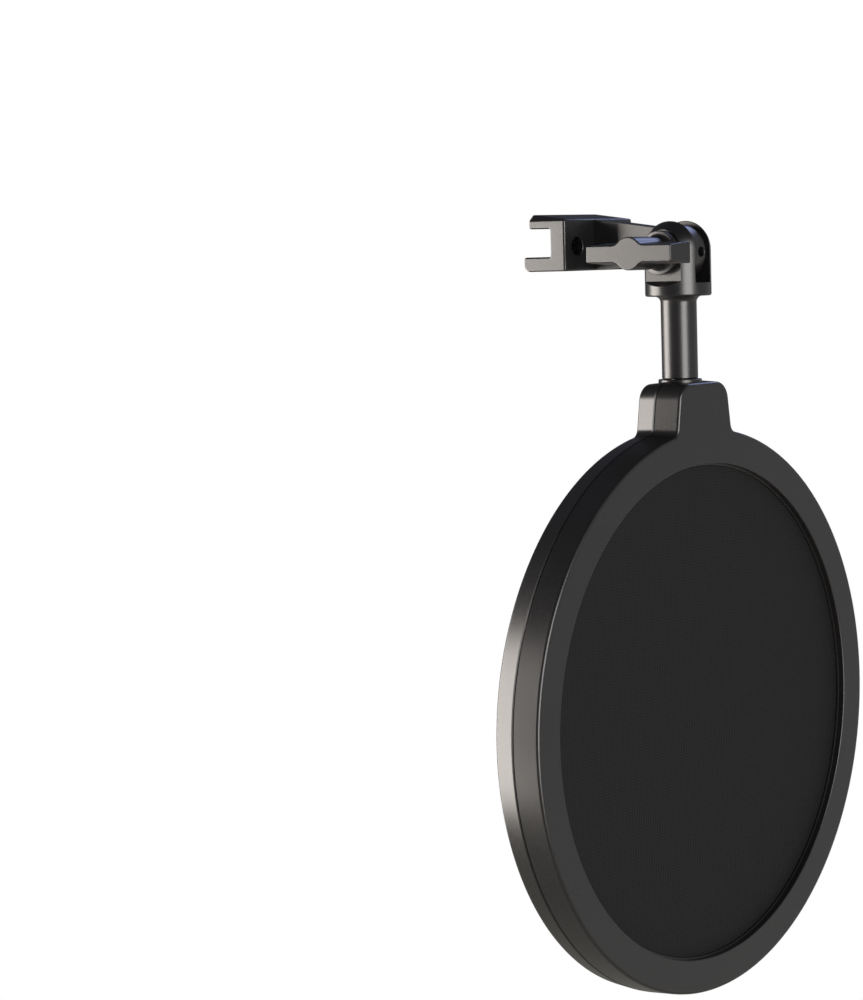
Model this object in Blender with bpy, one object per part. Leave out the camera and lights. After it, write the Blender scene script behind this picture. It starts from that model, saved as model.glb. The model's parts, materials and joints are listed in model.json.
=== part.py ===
"""Pop filter: a double mesh hoop on a short stem, a tilting fork clamped by a T-bar knob,
and an arm that ends in a channel bracket for the flat ring of a microphone cradle.

Units are metres. The origin is the centre of the bracket's seat face, where the cradle ring
bears. +Z is up along the stem, -Y is the front of the hoop, and +X is to the right seen from
the front.
"""
import math

import bmesh
import bpy
from mathutils import Matrix, Vector

MM = 0.001
GAP = 0.3 * MM

# Places of the main features, from the seat face.
HINGE_Y = -30.7 * MM
HINGE_Z = -3.45 * MM
STEM_TO_HOOP = 125.15 * MM
HOOP_Z = HINGE_Z - STEM_TO_HOOP
PARTING_OFFSET = 1.0 * MM
HOOP_Y = HINGE_Y - PARTING_OFFSET

# Hoop: two moulded shells round a stack of rings and two stretched meshes.
HOOP_RADIUS = 77.5 * MM
HOOP_DRAFT = 0.4 * MM
HOOP_HALF_DEPTH = 7.05 * MM
HOOP_WALL = 2.3 * MM
LIP_RADIUS = 67.8 * MM
LIP_DEPTH = 1.6 * MM
EDGE_ROUND = 0.9 * MM
REBATE_WIDTH = 0.8 * MM
REBATE_DEPTH = 1.2 * MM
MESH_RING_RADIUS = 67.3 * MM
MESH_RING_DEPTH = 0.6 * MM
MESH_DEPTH = 0.5 * MM
SPACER_RADIUS = 71.5 * MM
HOOP_STEPS = 96

# Neck: a half on each shell, closed round the stem's spigot.
NECK_TOP = 90.2 * MM
NECK_FOOT = 75.7 * MM
NECK_FOOT_HALF_WIDTH = 13.6 * MM
NECK_HALF_WIDTH = 12.0 * MM
NECK_CORNER = 5.5 * MM
SOCKET_RIM_RADIUS = 5.9 * MM
SOCKET_RIM_HEIGHT = 0.6 * MM
SOCKET_RADIUS = 4.5 * MM
SOCKET_FLOOR = 77.8 * MM
SOCKET_CEILING = 88.7 * MM
NECK_SCREW_X = 8.7 * MM
NECK_SCREW_Z = 82.5 * MM
NECK_SCREW_SHANK = 1.2 * MM
NECK_SCREW_HEAD = 2.1 * MM
NECK_SCREW_HEAD_DEPTH = 1.5 * MM
NECK_SCREW_SINK = 0.4 * MM
NECK_SCREW_REACH = 4.2 * MM

# Stem, collar and fork, one moulding.
SPIGOT_RADIUS = 2.9 * MM
FOOT_RADIUS = 4.1 * MM
FOOT_DEPTH = 2.0 * MM
FOOT_Z = 79.6 * MM
STEM_RADIUS = 4.9 * MM
STEM_FLARE = 1.7 * MM
COLLAR_RADIUS = 9.0 * MM
COLLAR_Z = 113.3 * MM
SLOT_FLOOR_Z = 116.85 * MM
SLOT_HALF_WIDTH = 3.5 * MM
DOME_RADIUS = 8.3 * MM
EAR_FLAT_X = 6.9 * MM
EAR_FLAT_FOOT = -7.7 * MM
EAR_LEDGE_SLOPE = 2 / 3
FORK_STEPS = 40

# Hinge bolt and the parts on it.
BOLT_RADIUS = 2.0 * MM
BOLT_HOLE = BOLT_RADIUS + GAP
BOLT_HEAD_CORNER = 4.04 * MM
BOLT_POCKET_CORNER = 4.45 * MM
BOLT_HEAD_X = 5.8 * MM
BOLT_HEAD_DEPTH = 2.6 * MM
BOLT_TIP_X = -16.4 * MM
FRICTION_WASHER_RADIUS = 6.6 * MM
FRICTION_WASHER_X = 2.7 * MM
FRICTION_WASHER_DEPTH = 0.5 * MM
KNOB_WASHER_RADIUS = 5.6 * MM
KNOB_WASHER_X = 7.2 * MM
KNOB_WASHER_DEPTH = 0.6 * MM

# Wing knob: a T-bar with a round boss, a hub and a moulded-in brass insert.
KNOB_BASE_X = 8.1 * MM
KNOB_FLANGE_DEPTH = 1.0 * MM
KNOB_FLANGE_RADIUS = 6.0 * MM
KNOB_HUB_RADIUS = 4.6 * MM
KNOB_BAR_X = 13.8 * MM
KNOB_FACE_X = 23.0 * MM
KNOB_HALF_LENGTH = 13.9 * MM
KNOB_HALF_HEIGHT = 2.25 * MM
KNOB_WING_DRAFT = 0.7 * MM
KNOB_BOSS_RADIUS = 4.45 * MM
KNOB_BLEND_Y = 6.4 * MM
INSERT_RADIUS = 3.1 * MM
INSERT_NEAR_X = 8.4 * MM
INSERT_FAR_X = 17.2 * MM

# Arm and channel bracket, one moulding.
ARM_HALF_WIDTH = 3.2 * MM
TONGUE_RADIUS = 7.5 * MM
TONGUE_HALF_WIDTH = 2.4 * MM
TONGUE_RELIEF = 8.2 * MM
TONGUE_HOLE_RADIUS = 1.4 * MM
TONGUE_HOLE_DEPTH = 2.8 * MM
TONGUE_HOLE_X = 0.5 * MM
ARM_TIP_FOOT = -3.6 * MM
ARM_STEP = 0.2 * MM
BRACKET_TOP = 6.3 * MM
BRACKET_FOOT = -7.8 * MM
BRACKET_HALF_WIDTH = 15.7 * MM
BRACKET_WEB = 5.0 * MM
BRACKET_FLAT_HALF = 6.0 * MM
RING_CURVE_RADIUS = 60.0 * MM
CHANNEL_TOP = 3.9 * MM
CHANNEL_FOOT = -3.8 * MM
UPPER_LIP_REACH = 7.2 * MM
LOWER_LIP_REACH = 9.2 * MM
LIP_RISE = 1.6 * MM
BRACKET_SCREW_X = 10.6 * MM
BRACKET_SCREW_Z = -1.0 * MM
BRACKET_SCREW_SHANK = 1.4 * MM
BRACKET_SCREW_HEAD = 2.2 * MM
BRACKET_SCREW_HEAD_DEPTH = 1.4 * MM
BRACKET_SCREW_SINK = 1.8 * MM

X_AXIS = Vector((1, 0, 0))
Y_AXIS = Vector((0, 1, 0))
Z_AXIS = Vector((0, 0, 1))
HINGE = Vector((0, HINGE_Y, HINGE_Z))
HOOP = Vector((0, HOOP_Y, HOOP_Z))
STEM = Vector((0, HINGE_Y, HOOP_Z))


def clear_scene():
    for item in list(bpy.data.objects):
        bpy.data.objects.remove(item, do_unlink=True)


def srgb_to_linear(code):
    channels = [int(code[index:index + 2], 16) / 255 for index in (1, 3, 5)]
    return [c / 12.92 if c <= 0.04045 else ((c + 0.055) / 1.055) ** 2.4 for c in channels]


def make_material(name, colour, roughness, metallic=0.0):
    material = bpy.data.materials.new(name)
    material.use_nodes = True
    shader = material.node_tree.nodes["Principled BSDF"]
    shader.inputs["Base Color"].default_value = srgb_to_linear(colour) + [1.0]
    shader.inputs["Roughness"].default_value = roughness
    shader.inputs["Metallic"].default_value = metallic
    return material


def make_object(name, form, origin, material=None):
    """Turn a bmesh drawn about the local origin into an object standing at origin."""
    bmesh.ops.recalc_face_normals(form, faces=form.faces)
    mesh = bpy.data.meshes.new(name)
    form.to_mesh(mesh)
    form.free()
    mesh.shade_smooth()
    mesh.set_sharp_from_angle(angle=math.radians(35))
    item = bpy.data.objects.new(name, mesh)
    item.location = origin
    bpy.context.collection.objects.link(item)
    if material:
        mesh.materials.append(material)
    return item


def make_cutter(name, form, origin):
    item = make_object(name, form, origin)
    item.hide_render = True
    item.display_type = "WIRE"
    return item


def combine(target, tool, operation):
    step = target.modifiers.new(f"{operation.lower()} {tool.name}", "BOOLEAN")
    step.operation = operation
    step.object = tool
    step.solver = "EXACT"


def cut(target, tool):
    combine(target, tool, "DIFFERENCE")


def join(target, tool):
    combine(target, tool, "UNION")


def turned(outline, axis, steps):
    """Spin a closed outline of (radius, distance along the axis) points round the axis.

    A flat end that closes on the axis becomes one face, with no point at its middle.
    """
    form = bmesh.new()
    across = X_AXIS if axis != X_AXIS else Y_AXIS
    points = [form.verts.new(across * radius + axis * along) for radius, along in outline]
    pairs = zip(points, points[1:] + points[:1])
    profile = [form.edges.new(pair) for pair in pairs if not on_axis(pair, axis)]
    bmesh.ops.spin(form, geom=points + profile, cent=(0, 0, 0), axis=axis, angle=math.tau, steps=steps)
    bmesh.ops.remove_doubles(form, verts=form.verts, dist=0.001 * MM)
    poles = [point for point in form.verts if on_axis([point], axis)]
    bmesh.ops.dissolve_verts(form, verts=poles)
    return form


def on_axis(points, axis):
    return all((point.co - axis * point.co.dot(axis)).length < 0.001 * MM for point in points)


def cylinder(radius, start, end, axis, steps=24):
    return turned([(0, start), (radius, start), (radius, end), (0, end)], axis, steps)


def tube(outer, inner, start, end, axis, steps=24):
    return turned([(inner, start), (outer, start), (outer, end), (inner, end)], axis, steps)


def extruded(outline, low, high, axis):
    """Raise a flat outline between two places on the axis.

    Outline points are (y, z) for the X axis and (x, z) for the Y axis.
    """
    form = bmesh.new()
    if axis == X_AXIS:
        corners = [Vector((low, first, second)) for first, second in outline]
    else:
        corners = [Vector((first, low, second)) for first, second in outline]
    face = form.faces.new([form.verts.new(corner) for corner in corners])
    raised = bmesh.ops.extrude_face_region(form, geom=[face])
    moved = [part for part in raised["geom"] if isinstance(part, bmesh.types.BMVert)]
    bmesh.ops.translate(form, verts=moved, vec=axis * (high - low))
    return form


def block(low, high):
    form = bmesh.new()
    bmesh.ops.create_cube(form, size=1.0)
    size = Vector(high) - Vector(low)
    middle = (Vector(high) + Vector(low)) / 2
    bmesh.ops.transform(form, matrix=Matrix.Translation(middle) @ Matrix.Diagonal(size.to_4d()),
                        verts=form.verts)
    return form


def arc(centre, radius, start, end, steps):
    """Points on a circle, angles in degrees."""
    angles = [math.radians(start + (end - start) * step / steps) for step in range(steps + 1)]
    return [(centre[0] + radius * math.cos(a), centre[1] + radius * math.sin(a)) for a in angles]


def round_edges(form, chosen, radius, segments=2):
    edges = [edge for edge in form.edges if chosen(edge)]
    bmesh.ops.bevel(form, geom=edges, offset=radius, segments=segments, profile=0.5, affect="EDGES")
    return form


def hoop_wall(facing):
    """Half hoop outline: an outer wall with a lip at the face; facing is -1 at the front.

    The rear wall carries a thin spigot past the parting line, into the front wall's rebate.
    """
    face = facing * HOOP_HALF_DEPTH
    parting = PARTING_OFFSET + facing * GAP / 2
    lip_back = face - facing * LIP_DEPTH
    inner = HOOP_RADIUS - HOOP_WALL
    face_radius = HOOP_RADIUS - HOOP_DRAFT
    corner_centre = (face_radius - EDGE_ROUND, face - facing * EDGE_ROUND)
    corner = arc(corner_centre, EDGE_ROUND, 90 * facing, 0, 3)
    joint = [(HOOP_RADIUS, parting)]
    if facing > 0:
        tip = parting - REBATE_DEPTH
        joint += [(inner + REBATE_WIDTH, parting), (inner + REBATE_WIDTH, tip), (inner, tip)]
    else:
        joint += [(inner, parting)]
    return [(LIP_RADIUS, face)] + corner + joint + [(inner, lip_back), (LIP_RADIUS, lip_back)]


def neck_outline():
    """Front view of the neck, from the hoop's centre, with its foot inside the hoop's wall."""
    corner = arc((NECK_HALF_WIDTH - NECK_CORNER, NECK_TOP - NECK_CORNER), NECK_CORNER, 0, 90, 5)
    right = [(NECK_FOOT_HALF_WIDTH, NECK_FOOT)] + corner
    return right + [(-x, z) for x, z in reversed(right)]


def add_shell(name, facing, material):
    """One hoop shell with its half of the neck, stem socket and screw holes."""
    parting = PARTING_OFFSET + facing * GAP / 2
    face = facing * HOOP_HALF_DEPTH
    shell = make_object(name, turned(hoop_wall(facing), Y_AXIS, HOOP_STEPS), HOOP, material)

    low, high = sorted((parting, face))
    neck = extruded(neck_outline(), low, high, Y_AXIS)
    round_edges(neck, lambda edge: all(abs(end.co.y - face) < GAP / 10 for end in edge.verts), EDGE_ROUND)
    join(shell, make_cutter(f"{name} neck", neck, HOOP))

    rim_top = NECK_TOP + SOCKET_RIM_HEIGHT
    rim = tube(SOCKET_RIM_RADIUS, SPIGOT_RADIUS, NECK_TOP - MM, rim_top, Z_AXIS, 32)
    join(shell, make_cutter(f"{name} socket rim", rim, STEM))

    bore = [(0, SOCKET_FLOOR), (SOCKET_RADIUS, SOCKET_FLOOR), (SOCKET_RADIUS, SOCKET_CEILING),
            (SPIGOT_RADIUS + GAP, SOCKET_CEILING), (SPIGOT_RADIUS + GAP, rim_top + MM), (0, rim_top + MM)]
    cut(shell, make_cutter(f"{name} stem bore", turned(bore, Z_AXIS, 24), STEM))

    side = sorted((parting, parting - facing * 20 * MM))
    other_side = block((-20 * MM, side[0], NECK_TOP - 6 * MM), (20 * MM, side[1], NECK_TOP + 8 * MM))
    cut(shell, make_cutter(f"{name} parting", other_side, HOOP))
    for label, sign in (("left", -1), ("right", 1)):
        place = HOOP + Vector((sign * NECK_SCREW_X, 0, NECK_SCREW_Z))
        if facing > 0:
            seat = HOOP_HALF_DEPTH - NECK_SCREW_SINK - NECK_SCREW_HEAD_DEPTH - GAP
            hole = [(0, -MM), (NECK_SCREW_SHANK + GAP, -MM), (NECK_SCREW_SHANK + GAP, seat),
                    (NECK_SCREW_HEAD + GAP, seat), (NECK_SCREW_HEAD + GAP, 9 * MM), (0, 9 * MM)]
        else:
            foot = -NECK_SCREW_REACH - GAP
            hole = [(0, foot), (NECK_SCREW_SHANK + GAP, foot), (NECK_SCREW_SHANK + GAP, 3 * MM), (0, 3 * MM)]
        cut(shell, make_cutter(f"{name} screw hole {label}", turned(hole, Y_AXIS, 16), place))
    if facing < 0:
        inner = HOOP_RADIUS - HOOP_WALL
        rebate = tube(inner + REBATE_WIDTH + GAP, inner - MM, parting - REBATE_DEPTH - GAP, parting + MM,
                      Y_AXIS, HOOP_STEPS)
        cut(shell, make_cutter("rebate", rebate, HOOP))


def add_neck_screw(name, sign, material):
    """Pan-head screw from the rear of the neck, with a cross recess in its head."""
    top = HOOP_HALF_DEPTH - NECK_SCREW_SINK
    under = top - NECK_SCREW_HEAD_DEPTH
    outline = [(0, -NECK_SCREW_REACH), (0.5 * MM, -NECK_SCREW_REACH),
               (NECK_SCREW_SHANK, MM - NECK_SCREW_REACH),
               (NECK_SCREW_SHANK, under), (NECK_SCREW_HEAD, under), (NECK_SCREW_HEAD, top - 0.6 * MM),
               (NECK_SCREW_HEAD - 0.6 * MM, top), (0, top)]
    place = HOOP + Vector((sign * NECK_SCREW_X, 0, NECK_SCREW_Z))
    screw = make_object(name, turned(outline, Y_AXIS, 16), place, material)
    cut_cross_recess(screw, place, top, -1, NECK_SCREW_HEAD * 0.6, 0.8 * MM)


def cut_cross_recess(screw, place, face, inward, reach, depth):
    """Two crossed slots sunk from a head's face; inward is the way into the head along Y."""
    half = 0.3 * MM
    low, high = sorted((face - inward * MM, face + inward * depth))
    for label, width, height in (("upright", half, reach), ("level", reach, half)):
        slot = block((-width, low, -height), (width, high, height))
        cut(screw, make_cutter(f"{screw.name} {label} slot", slot, place))


def add_mesh_stack(plastic, nylon):
    """Clamp rings, two stretched meshes and the spacer between them, front to back."""
    outer = HOOP_RADIUS - HOOP_WALL - GAP
    for label, facing in (("front", -1), ("rear", 1)):
        ring_face = facing * (HOOP_HALF_DEPTH - LIP_DEPTH - GAP)
        ring_back = ring_face - facing * MESH_RING_DEPTH
        mesh_face = ring_back - facing * GAP
        mesh_back = mesh_face - facing * MESH_DEPTH
        ring = tube(outer, MESH_RING_RADIUS, min(ring_face, ring_back), max(ring_face, ring_back),
                    Y_AXIS, HOOP_STEPS)
        make_object(f"{label}_mesh_ring", ring, HOOP, plastic)
        sheet = cylinder(outer, min(mesh_face, mesh_back), max(mesh_face, mesh_back), Y_AXIS, HOOP_STEPS)
        make_object(f"{label}_mesh", sheet, HOOP, nylon)
    half = abs(mesh_back) - GAP
    make_object("mesh_spacer", tube(outer, SPACER_RADIUS, -half, half, Y_AXIS, HOOP_STEPS), HOOP, plastic)


def add_stem_yoke(material):
    """Foot, spigot, stem, collar and dome turned about the stem, then the fork cut from the dome."""
    foot_top = FOOT_Z + FOOT_DEPTH
    shoulder = NECK_TOP + SOCKET_RIM_HEIGHT + GAP
    dome_inset = COLLAR_RADIUS - DOME_RADIUS
    dome = arc((dome_inset, STEM_TO_HOOP + dome_inset), DOME_RADIUS, 0, 90, 9)
    flare = arc((STEM_RADIUS + STEM_FLARE, COLLAR_Z - STEM_FLARE), STEM_FLARE, 180, 90, 4)
    outline = ([(0, FOOT_Z), (FOOT_RADIUS, FOOT_Z), (FOOT_RADIUS, foot_top), (SPIGOT_RADIUS, foot_top),
                (SPIGOT_RADIUS, shoulder), (STEM_RADIUS, shoulder)] + flare
               + [(COLLAR_RADIUS, COLLAR_Z)] + dome + [(0, STEM_TO_HOOP + COLLAR_RADIUS)])
    yoke = make_object("stem_yoke", turned(outline, Z_AXIS, FORK_STEPS), HINGE, material)
    for vertex in yoke.data.vertices:
        vertex.co.z -= STEM_TO_HOOP

    reach = 14 * MM
    floor = SLOT_FLOOR_Z - STEM_TO_HOOP
    slot = block((-SLOT_HALF_WIDTH, -reach, floor), (SLOT_HALF_WIDTH, reach, reach))
    cut(yoke, make_cutter("fork slot", slot, HINGE))
    ledge_foot = EAR_FLAT_FOOT - EAR_LEDGE_SLOPE * (reach - EAR_FLAT_X)
    flat = [(-EAR_FLAT_X, EAR_FLAT_FOOT), (-EAR_FLAT_X, reach), (-reach, reach), (-reach, ledge_foot)]
    cut(yoke, make_cutter("knob side flat", extruded(flat, -reach, reach, Y_AXIS), HINGE))
    cut(yoke, make_cutter("fork bolt hole", cylinder(BOLT_HOLE, -reach, reach, X_AXIS), HINGE))
    pocket = cylinder(BOLT_POCKET_CORNER, BOLT_HEAD_X - GAP, reach, X_AXIS, 6)
    cut(yoke, make_cutter("bolt head pocket", pocket, HINGE))


def add_hinge_bolt(material):
    """Hex bolt from the right ear through the tongue into the knob's insert."""
    head_end = BOLT_HEAD_X + BOLT_HEAD_DEPTH
    shank = [(0, BOLT_TIP_X), (BOLT_RADIUS - 0.4 * MM, BOLT_TIP_X), (BOLT_RADIUS, BOLT_TIP_X + 0.4 * MM),
             (BOLT_RADIUS, BOLT_HEAD_X + MM), (0, BOLT_HEAD_X + MM)]
    bolt = make_object("hinge_bolt", turned(shank, X_AXIS, 20), HINGE, material)
    head = cylinder(BOLT_HEAD_CORNER, BOLT_HEAD_X, head_end, X_AXIS, 6)
    join(bolt, make_cutter("bolt head", head, HINGE))


def add_friction_washer(name, sign, material):
    near = sign * FRICTION_WASHER_X
    far = near + sign * FRICTION_WASHER_DEPTH
    washer = tube(FRICTION_WASHER_RADIUS, BOLT_HOLE, min(near, far), max(near, far), X_AXIS, 32)
    make_object(name, washer, HINGE, material)


def knob_bar_outline():
    """Front view of the T-bar: straight wings that swell into a round boss."""
    boss = math.degrees(math.asin(2.9 * MM / KNOB_BOSS_RADIUS))
    top = ([(KNOB_HALF_LENGTH, KNOB_HALF_HEIGHT), (KNOB_BLEND_Y, KNOB_HALF_HEIGHT),
            (KNOB_BLEND_Y - 1.2 * MM, KNOB_HALF_HEIGHT + 0.15 * MM)]
           + arc((0, 0), KNOB_BOSS_RADIUS, boss, 180 - boss, 10)
           + [(1.2 * MM - KNOB_BLEND_Y, KNOB_HALF_HEIGHT + 0.15 * MM), (-KNOB_BLEND_Y, KNOB_HALF_HEIGHT),
              (-KNOB_HALF_LENGTH, KNOB_HALF_HEIGHT)])
    return top + [(y, -z) for y, z in reversed(top)]


def add_wing_knob(plastic, brass):
    bar = extruded(knob_bar_outline(), -KNOB_FACE_X, -KNOB_BAR_X, X_AXIS)
    for vertex in bar.verts:
        if vertex.co.x > -KNOB_FACE_X + MM and abs(vertex.co.y) > KNOB_BOSS_RADIUS:
            vertex.co.z += math.copysign(KNOB_WING_DRAFT, vertex.co.z)
    round_edges(bar, lambda edge: edge.is_manifold and edge.calc_face_angle() > math.radians(60),
                0.35 * MM, 1)
    knob = make_object("wing_knob", bar, HINGE, plastic)
    flange_top = KNOB_BASE_X + KNOB_FLANGE_DEPTH
    hub = [(0, -KNOB_BAR_X - 2 * MM), (KNOB_HUB_RADIUS - 0.4 * MM, -KNOB_BAR_X - 2 * MM),
           (KNOB_HUB_RADIUS - 0.4 * MM, -KNOB_BAR_X), (KNOB_HUB_RADIUS, -flange_top - 0.6 * MM),
           (KNOB_FLANGE_RADIUS, -flange_top), (KNOB_FLANGE_RADIUS, -KNOB_BASE_X), (0, -KNOB_BASE_X)]
    join(knob, make_cutter("knob hub", turned(hub, X_AXIS, 28), HINGE))
    pocket = cylinder(INSERT_RADIUS + GAP, -INSERT_FAR_X - GAP, -KNOB_BASE_X + MM, X_AXIS, 20)
    cut(knob, make_cutter("insert pocket", pocket, HINGE))
    insert = tube(INSERT_RADIUS, BOLT_HOLE, -INSERT_FAR_X, -INSERT_NEAR_X, X_AXIS, 20)
    make_object("knob_insert", insert, HINGE, brass)


def ring_curve(x):
    """How far the bracket sets back at x, so that it follows the cradle ring."""
    past = max(0.0, abs(x) - BRACKET_FLAT_HALF)
    return RING_CURVE_RADIUS - math.sqrt(RING_CURVE_RADIUS ** 2 - past ** 2)


def channel_section(lift):
    """Side view of the channel; lift is how far the upper lip rises towards its back edge."""
    chamfer = 0.6 * MM
    front = -BRACKET_WEB
    return [(front + chamfer, BRACKET_TOP), (UPPER_LIP_REACH - chamfer, BRACKET_TOP + lift),
            (UPPER_LIP_REACH, BRACKET_TOP + lift - chamfer), (UPPER_LIP_REACH, CHANNEL_TOP),
            (0, CHANNEL_TOP), (0, CHANNEL_FOOT), (LOWER_LIP_REACH, CHANNEL_FOOT),
            (LOWER_LIP_REACH, BRACKET_FOOT + 2 * chamfer), (LOWER_LIP_REACH - 2 * chamfer, BRACKET_FOOT),
            (front + chamfer, BRACKET_FOOT), (front, BRACKET_FOOT + chamfer), (front, BRACKET_TOP - chamfer)]


def channel_form():
    """The channel's side view carried along X through stations that follow the ring."""
    crown = 1.6 * MM
    places = [BRACKET_HALF_WIDTH, BRACKET_HALF_WIDTH - crown, 10 * MM, 8 * MM, BRACKET_FLAT_HALF]
    stations = [(-x, 0.0 if x == places[0] else LIP_RISE) for x in places]
    stations += [(-x, lift) for x, lift in reversed(stations)]
    form = bmesh.new()
    loops = []
    for x, lift in stations:
        section = [(y + ring_curve(x), z) for y, z in channel_section(lift)]
        loops.append([form.verts.new((x, y, z)) for y, z in section])
    for here, there in zip(loops, loops[1:]):
        for index, vertex in enumerate(here):
            behind = index - 1
            form.faces.new((here[behind], vertex, there[index], there[behind]))
    form.faces.new(loops[0])
    form.faces.new(loops[-1])
    return form


def add_arm_bracket(material):
    """Channel bracket, tapering arm and round tongue, joined into one moulding."""
    bracket = make_object("arm_bracket", channel_form(), (0, 0, 0), material)
    for label, sign in (("left", -1), ("right", 1)):
        place = (sign * BRACKET_SCREW_X, 0, BRACKET_SCREW_Z)
        setback = ring_curve(BRACKET_SCREW_X)
        seat = setback - BRACKET_WEB + BRACKET_SCREW_SINK + BRACKET_SCREW_HEAD_DEPTH + GAP
        hole = [(0, -12 * MM), (BRACKET_SCREW_HEAD + GAP, -12 * MM), (BRACKET_SCREW_HEAD + GAP, seat),
                (BRACKET_SCREW_SHANK + GAP, seat), (BRACKET_SCREW_SHANK + GAP, 3 * MM), (0, 3 * MM)]
        cut(bracket, make_cutter(f"bracket screw hole {label}", turned(hole, Y_AXIS, 20), place))

    root_y = -BRACKET_WEB / 2 - HINGE_Y
    root_top = BRACKET_TOP - ARM_STEP - HINGE_Z
    root_foot = BRACKET_FOOT + ARM_STEP - HINGE_Z
    tongue = arc((0, 0), TONGUE_RADIUS, 62, 330, 30)
    outline = tongue + [(TONGUE_RADIUS, ARM_TIP_FOOT), (root_y - 3 * MM, root_foot), (root_y, root_foot),
                        (root_y, root_top), (root_y - 3 * MM, root_top)]
    arm = make_cutter("arm", extruded(outline, -ARM_HALF_WIDTH, ARM_HALF_WIDTH, X_AXIS), HINGE)
    for label, sign in (("left", -1), ("right", 1)):
        low, high = sorted((sign * TONGUE_HALF_WIDTH, sign * 6 * MM))
        relief = cylinder(TONGUE_RELIEF, low, high, X_AXIS, 40)
        cut(arm, make_cutter(f"tongue relief {label}", relief, HINGE))
    cut(arm, make_cutter("tongue bolt hole", cylinder(BOLT_HOLE, -6 * MM, 6 * MM, X_AXIS), HINGE))
    blind = cylinder(TONGUE_HOLE_RADIUS, -12 * MM, TONGUE_HOLE_DEPTH - TONGUE_RADIUS, Y_AXIS, 16)
    cut(arm, make_cutter("tongue rim hole", blind, HINGE + X_AXIS * TONGUE_HOLE_X))
    join(bracket, arm)


def add_bracket_screw(name, sign, material):
    """Pan-head screw sunk in the bracket's front, its tip just short of the seat."""
    setback = ring_curve(BRACKET_SCREW_X)
    face = setback - BRACKET_WEB + BRACKET_SCREW_SINK
    under = face + BRACKET_SCREW_HEAD_DEPTH
    tip = setback - GAP
    outline = [(0, face), (BRACKET_SCREW_HEAD - 0.5 * MM, face), (BRACKET_SCREW_HEAD, face + 0.5 * MM),
               (BRACKET_SCREW_HEAD, under), (BRACKET_SCREW_SHANK, under), (BRACKET_SCREW_SHANK, tip),
               (0, tip)]
    place = Vector((sign * BRACKET_SCREW_X, 0, BRACKET_SCREW_Z))
    screw = make_object(name, turned(outline, Y_AXIS, 16), place, material)
    cut_cross_recess(screw, place, face, 1, BRACKET_SCREW_HEAD * 0.6, 0.8 * MM)


def add_stem_fittings(acetal, rubber):
    """Bearing sleeve above the stem's foot and the rubber ring that drags on it from below."""
    sleeve = tube(SOCKET_RADIUS - GAP, SPIGOT_RADIUS + GAP, FOOT_Z + FOOT_DEPTH + GAP,
                  SOCKET_CEILING - GAP, Z_AXIS, 24)
    make_object("stem_bush", sleeve, STEM, acetal)
    ring = tube(FOOT_RADIUS - 0.1 * MM, 1.2 * MM, SOCKET_FLOOR + GAP, FOOT_Z - GAP, Z_AXIS, 24)
    make_object("stem_friction_ring", ring, STEM, rubber)


def build():
    clear_scene()
    abs_black = make_material("black_abs", "#2b2a29", 0.42)
    nylon_mesh = make_material("black_nylon_mesh", "#1c1c1c", 0.9)
    zinc_steel = make_material("zinc_steel", "#9a9a98", 0.35, 1.0)
    black_steel = make_material("black_steel", "#2a2a2a", 0.4, 1.0)
    brass = make_material("brass", "#b59450", 0.3, 1.0)
    acetal = make_material("white_acetal", "#d8d6d0", 0.45)
    black_acetal = make_material("black_acetal", "#1f1f1f", 0.45)
    rubber = make_material("black_rubber", "#1a1a1a", 0.8)

    add_shell("front_shell", -1, abs_black)
    add_shell("rear_shell", 1, abs_black)
    add_mesh_stack(abs_black, nylon_mesh)
    for side, sign in (("left", -1), ("right", 1)):
        add_neck_screw(f"neck_screw_{side}", sign, black_steel)
        add_bracket_screw(f"bracket_screw_{side}", sign, black_steel)
        add_friction_washer(f"{side}_friction_washer", sign, black_acetal)
    add_stem_fittings(acetal, rubber)
    add_stem_yoke(abs_black)
    add_hinge_bolt(zinc_steel)
    washer = tube(KNOB_WASHER_RADIUS, BOLT_HOLE, -KNOB_WASHER_X - KNOB_WASHER_DEPTH, -KNOB_WASHER_X,
                  X_AXIS, 32)
    make_object("knob_washer", washer, HINGE, zinc_steel)
    add_wing_knob(abs_black, brass)
    add_arm_bracket(abs_black)


build()
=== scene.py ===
"""Pop filter on its arm: a double nylon hoop, a tilting fork with a wing knob, a ring bracket."""

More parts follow.
